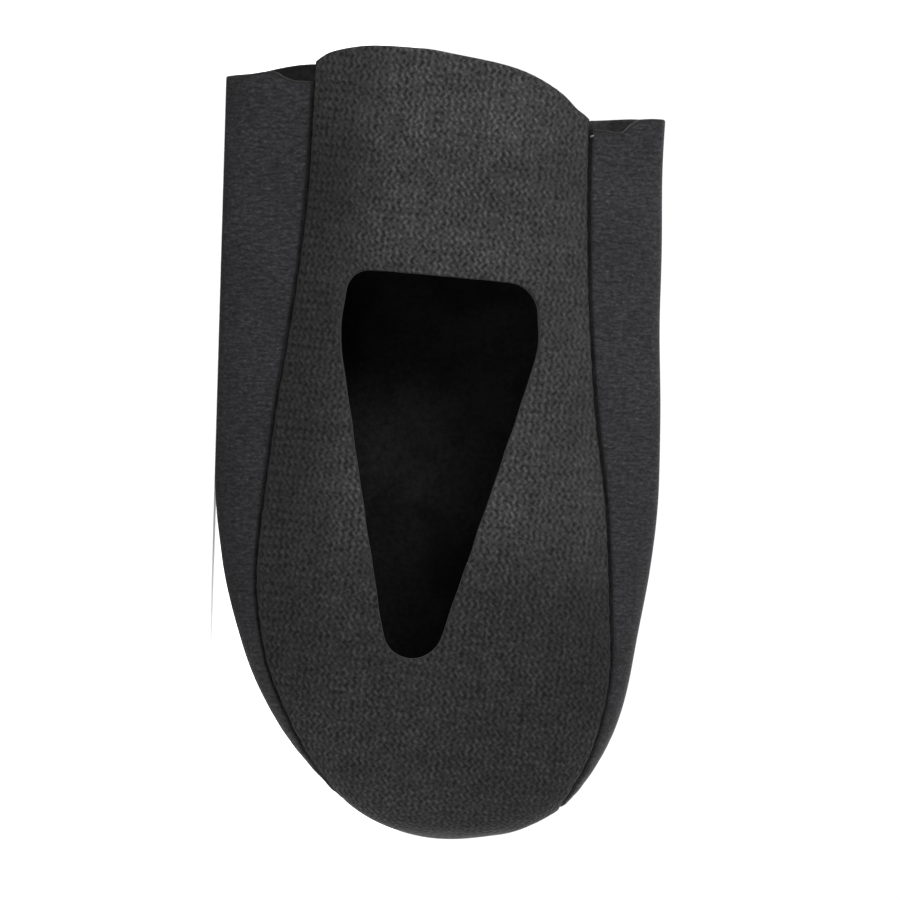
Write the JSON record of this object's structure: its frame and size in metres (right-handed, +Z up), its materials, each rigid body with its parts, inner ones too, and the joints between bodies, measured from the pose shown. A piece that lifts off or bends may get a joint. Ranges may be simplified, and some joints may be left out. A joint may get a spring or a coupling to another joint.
{
  "type": "cycling toe cover",
  "caption": "Stretch toe cover for a left cycling shoe: a hollow upper open at the collar, sewn round a knitted sole panel with a rounded triangular cleat window.",
  "frame": {"origin": "middle of the cover's box, on the floor that it lies on", "axes": "+X to the toe, +Z up to the inner side of the foot, -Y the sole's side, +Y the instep's side; the cover lies on its outer side"},
  "size_m": [0.19, 0.0537, 0.1068],
  "materials": {
    "stretch_foam": "matt black knit-faced stretch foam",
    "hard_wearing_knit": "matt black coarse hard-wearing knit"
  },
  "bodies": {
    "root": {"upper": "stretch_foam", "sole_panel": "hard_wearing_knit"}
  },
  "joints": []
}
